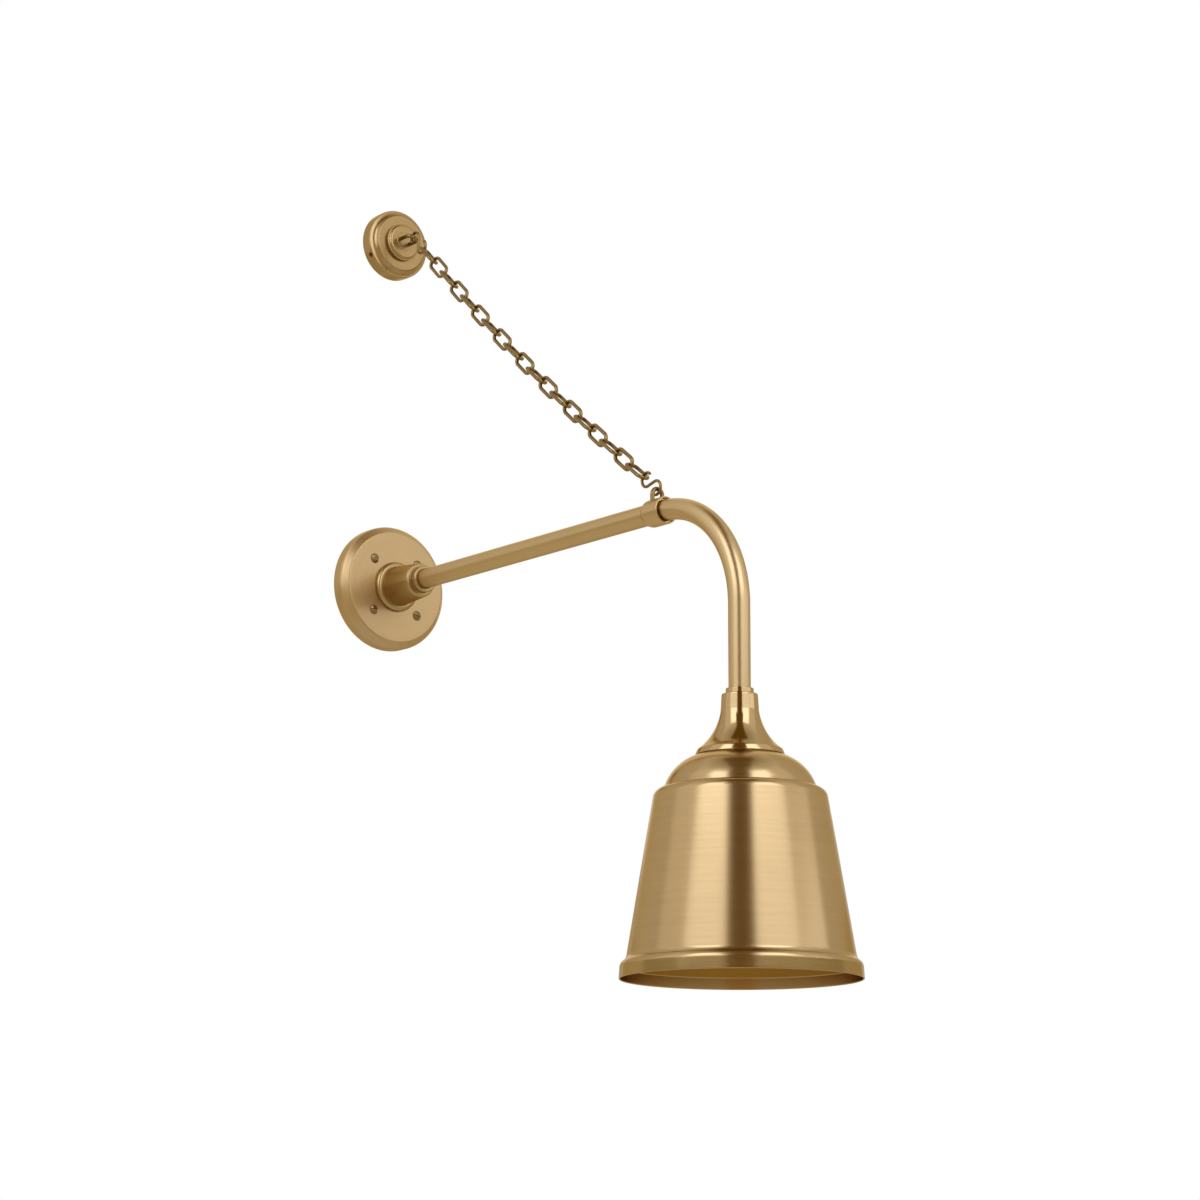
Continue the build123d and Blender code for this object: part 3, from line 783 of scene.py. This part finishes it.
# %% Plate screws
screw_start, screw_radius = 0.4, 2.0
head_start, head_edge = 15.0, 17.6
head_radius = screw_radius + head_edge - head_start
dome_top, dome_bulge = 19.0, 0.36
slot_middle = 18.6
slot_length, slot_width, slot_depth = 12, 1.2, 2.4
slot_size = Matrix.Diagonal((slot_length * MM, slot_width * MM, slot_depth * MM, 1))
slot_turns = (-4, 6, -18, 8)
screw_section = [
    corner(screw_start, 0),
    corner(screw_start, screw_radius),
    corner(head_start, screw_radius),
    corner(head_edge, head_radius, soft=0.2),
    corner(dome_top, 0, rise=dome_bulge),
]
screws = bmesh.new()
for (x, z), slot_turn in zip(screw_places, slot_turns):
    place = Matrix.Translation((x, 0, z)) @ on_wall @ Matrix.Rotation(math.radians(slot_turn), 4, "Z")
    screw = piece_from(spun_mesh(screw_section, place, screw_steps), "screw")
    blade = bmesh.new()
    slot_place = place @ Matrix.Translation((0, 0, slot_middle * MM)) @ slot_size
    bmesh.ops.create_cube(blade, size=1, matrix=slot_place)
    cut_away(screw, piece_from(blade, "screw_slot"))
    screws.from_mesh(screw.data)
    bpy.data.objects.remove(screw)
stand_for(piece_from(screws, "slotted_screws"), "fixture", screw_brass, "screw_brass", "plate_screws")

# %% [markdown]
# ## Hub
# The hub carries the arm: a bead at the plate, a long taper, and a lip that the tube goes into. The
# bead is an arc in the section. A ring laid round the hub would look like one too, but it would leave
# a crease where the two meet.

# %% Hub
bead_radius = 24.125
bead_end, bead_rise = 23.3, 2.2
taper_start, taper_end = 19.525, 16.425
taper_length = 60.8
lip_end, lip_radius = 68.5, 12.925
hub_section = [
    corner(plate_depth, tube_bore),
    corner(plate_depth, bead_radius, soft=0.3),
    corner(bead_end, taper_start, soft=0.3, rise=bead_rise),
    corner(taper_length, taper_end, soft=1.6),
    corner(taper_length, lip_radius, soft=0.3),
    corner(lip_end, lip_radius, soft=1.2),
    corner(lip_end, tube_bore, soft=0.3),
]
hub = piece_from(spun_mesh(hub_section, on_wall), "turned_hub")
stand_for(hub, "fixture", hub_brass, "satin_brass", "hub")

# %% [markdown]
# ## Arm
# The arm is one length of drawn tube, bent round a former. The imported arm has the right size, but
# the triangles of its bend break up the light. So two rings, the outside and the bore, are pushed
# along the level run, spun round the bend, pushed down, and joined at both ends. A curve with
# a bevel would be quicker, but it has no bore.


# %% Pushing edges
def edges_of(geometry):
    return [part for part in geometry if isinstance(part, bmesh.types.BMEdge)]


def push(bm, edges, way):
    """Draws edges out by a straight way, and gives the new vertices and edges."""
    pushed = bmesh.ops.extrude_edge_only(bm, edges=edges)["geom"]
    ends = [part for part in pushed if isinstance(part, bmesh.types.BMVert)]
    bmesh.ops.translate(bm, vec=way, verts=ends)
    return [part for part in pushed if not isinstance(part, bmesh.types.BMFace)]


tube_weld = 0.01 * MM
print("points closer than", tube_weld / MM, "mm are merged")

# %% Arm
arm_bend = 0.100
arm_wall = 0.0015
arm_points = 72
bend_steps = 48
arm_low, arm_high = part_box("arm_tube")
arm_radius = arm_high[2]
arm_start = Matrix.Translation((0, arm_high[1], 0)) @ on_wall
bend_start = arm_bend - arm_reach
bm = bmesh.new()
for radius in (arm_radius, arm_radius - arm_wall):
    bmesh.ops.create_circle(bm, segments=arm_points, radius=radius, matrix=arm_start)
wall_end = bm.edges[:]
level = push(bm, wall_end, (0, bend_start - arm_high[1], 0))
bend = bmesh.ops.spin(
    bm, geom=level, cent=(0, bend_start, -arm_bend), axis=(1, 0, 0), angle=math.pi / 2, steps=bend_steps,
    use_merge=False, use_duplicate=False,
)["geom_last"]
lamp_end = edges_of(push(bm, edges_of(bend), (0, 0, arm_low[2] + arm_bend)))
for edges in (wall_end, lamp_end):
    bmesh.ops.bridge_loops(bm, edges=edges)
bmesh.ops.remove_doubles(bm, verts=bm.verts, dist=tube_weld)
bmesh.ops.recalc_face_normals(bm, faces=bm.faces)
stand_for(piece_from(bm, "bent_tube"), "fixture", tube_brass, "satin_brass", "arm_tube")

# %% [markdown]
# ## Collar
# The collar is a sleeve that slides on the tube and holds the chain's lower eye. Its back is rounded
# and its front is a wider mouth, which looks dark from the room. A plain ring with a Solidify modifier
# would have no such mouth, so it is spun from a section too.

# %% Collar
collar_back, collar_front = 409.0, 433.0
back_radius, collar_radius = 10.525, 12.425
rounding_end = 415.0
mouth_radius = 11.025
mouth_end = 430.0
collar_section = [
    corner(collar_back, tube_bore),
    corner(collar_back, back_radius, soft=0.3),
    corner(rounding_end, collar_radius, soft=0.4, rise=0.5),
    corner(collar_front, collar_radius, soft=0.5),
    corner(collar_front, mouth_radius, soft=0.4),
    corner(mouth_end, mouth_radius),
    corner(mouth_end, tube_bore),
]
collar = piece_from(spun_mesh(collar_section, on_wall, steps=96), "turned_collar")
stand_for(collar, "fixture", tube_brass, "satin_brass", "chain_collar")

# %% [markdown]
# ## Anchor cover and boss
# The anchor cover is a small rosette: a straight edge, a cove and a flat face, with a hole in its edge
# for each set screw. One drill goes through both edges. The boss sits in front of it, with a stem
# that goes back through the cover, and carries the chain's upper eye. Cover and boss could be one
# turned piece, but the line between them shows in the photograph.

# %% Anchor cover
cover_radius = 34.7
cover_wall = 1.8
cover_edge = 12.6
cover_depth = 18.2
cover_face = 28.0
stem_hole = 5.3
cove_rise = -1.7
cover_section = [
    corner(0, cover_radius - cover_wall),
    corner(0, cover_radius, soft=0.4),
    corner(cover_edge, cover_radius, soft=1.8),
    corner(cover_depth, cover_face, soft=0.6, rise=cove_rise),
    corner(cover_depth, stem_hole),
    corner(cover_depth - cover_wall, stem_hole),
    corner(cover_depth - cover_wall, cover_face - cover_wall),
    corner(cover_edge - cover_wall, cover_radius - cover_wall),
]
cover = piece_from(spun_mesh(cover_section, at_anchor), "turned_cover")

# %% Set screw holes
drill_radius = 2.7 * MM
drill_length = 80 * MM
drill_depth = 9.0 * MM
drill_points = 32
set_screw_rise = 28
drill_turn = math.radians(90 - set_screw_rise)
drill_place = Matrix.Translation((0, -drill_depth, anchor_height)) @ Matrix.Rotation(drill_turn, 4, "Y")
drill = bmesh.new()
bmesh.ops.create_cone(
    drill, cap_ends=True, segments=drill_points, radius1=drill_radius, radius2=drill_radius,
    depth=drill_length, matrix=drill_place,
)
cut_away(cover, piece_from(drill, "set_screw_hole"))
stand_for(cover, "fixture", anchor_brass, "satin_brass", "anchor_cover")

# %% Anchor boss
boss_start, boss_stem = 0.4, 5.0
boss_step, boss_radius = 21.4, 18.8
step_radius = 17.6
boss_face, face_radius = 24.0, 15.0
pad_face, pad_radius = 24.6, 9.3
boss_section = [
    corner(boss_start, 0),
    corner(boss_start, boss_stem),
    corner(cover_depth, boss_stem),
    corner(cover_depth, boss_radius, soft=0.2),
    corner(boss_step, boss_radius, soft=0.5),
    corner(boss_step, step_radius, soft=0.3),
    corner(boss_face, face_radius, soft=0.3, rise=0.76),
    corner(boss_face, pad_radius, soft=0.2),
    corner(pad_face, pad_radius, soft=0.3),
    corner(pad_face, 0),
]
boss = piece_from(spun_mesh(boss_section, at_anchor, steps=96), "turned_boss")
stand_for(boss, "fixture", anchor_brass, "satin_brass", "anchor_boss")

# %% [markdown]
# ## Chain
# The chain is made of oval links of round wire, each a quarter turn from the last. The packed
# links have the right place and size, but flat-sided wire that is a little thin beside the
# photograph. So each link is made again with a thicker wire, inside the same length and width:
# a ring of wire is pushed along a straight, spun round a bend, and mirrored. It is laid on its packed
# link, whose own long, wide and thin directions say how it lies. An Array on a curve would be
# shorter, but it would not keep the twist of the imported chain.


# %% Reading a packed link
def lie_of(node):
    """The middle, the three directions and the three lengths of a packed link, longest first."""
    points = np.array([vert.co for vert in node.data.vertices])
    centre = (points.min(axis=0) + points.max(axis=0)) / 2
    ways = np.linalg.eigh(np.cov((points - points.mean(axis=0)).T))[1][:, ::-1]
    reach = (points - centre) @ ways
    middle_point = centre + ways @ ((reach.min(axis=0) + reach.max(axis=0)) / 2)
    return Vector(middle_point), ways, reach.max(axis=0) - reach.min(axis=0)


link_names = sorted(name for name in parts if name.startswith("chain_link_"))
first_lengths = lie_of(parts[link_names[0]])[2]
print(len(link_names), "links of", [round(size / MM, 2) for size in first_lengths], "mm")

# %% One link
wire_points = 14
link_steps = 16


def wire_link(length, width, wire):
    """A closed oval of round wire, long in X and wide in Y."""
    bend = (width - wire) / 2
    straight = length / 2 - wire / 2 - bend
    across = Matrix.Translation((0, bend, 0)) @ Matrix.Rotation(math.pi / 2, 4, "Y")
    bm = bmesh.new()
    bmesh.ops.create_circle(bm, segments=wire_points, radius=wire / 2, matrix=across)
    front = push(bm, bm.edges[:], (straight, 0, 0))
    spun = bmesh.ops.spin(
        bm, geom=front, cent=(straight, 0, 0), axis=(0, 0, 1), angle=-math.pi, steps=link_steps,
        use_merge=False, use_duplicate=False,
    )["geom_last"]
    push(bm, edges_of(spun), (-straight, 0, 0))
    bmesh.ops.mirror(bm, geom=bm.verts[:] + bm.edges[:] + bm.faces[:], axis="X", merge_dist=tube_weld)
    bmesh.ops.remove_doubles(bm, verts=bm.verts, dist=tube_weld)
    bmesh.ops.recalc_face_normals(bm, faces=bm.faces)
    return bm


wire_growth = 1.15
for name in link_names:
    centre, ways, (length, width, wire) = lie_of(parts[name])
    turn = Matrix([list(row) for row in ways]).to_4x4()
    bm = wire_link(length, width, wire * wire_growth)
    bmesh.ops.transform(bm, matrix=Matrix.Translation(centre) @ turn, verts=bm.verts)
    bmesh.ops.recalc_face_normals(bm, faces=bm.faces)
    link = piece_from(bm, name.replace("chain_link", "wire_link"))
    stand_for(link, "chain", chain_brass, "chain_brass", name)
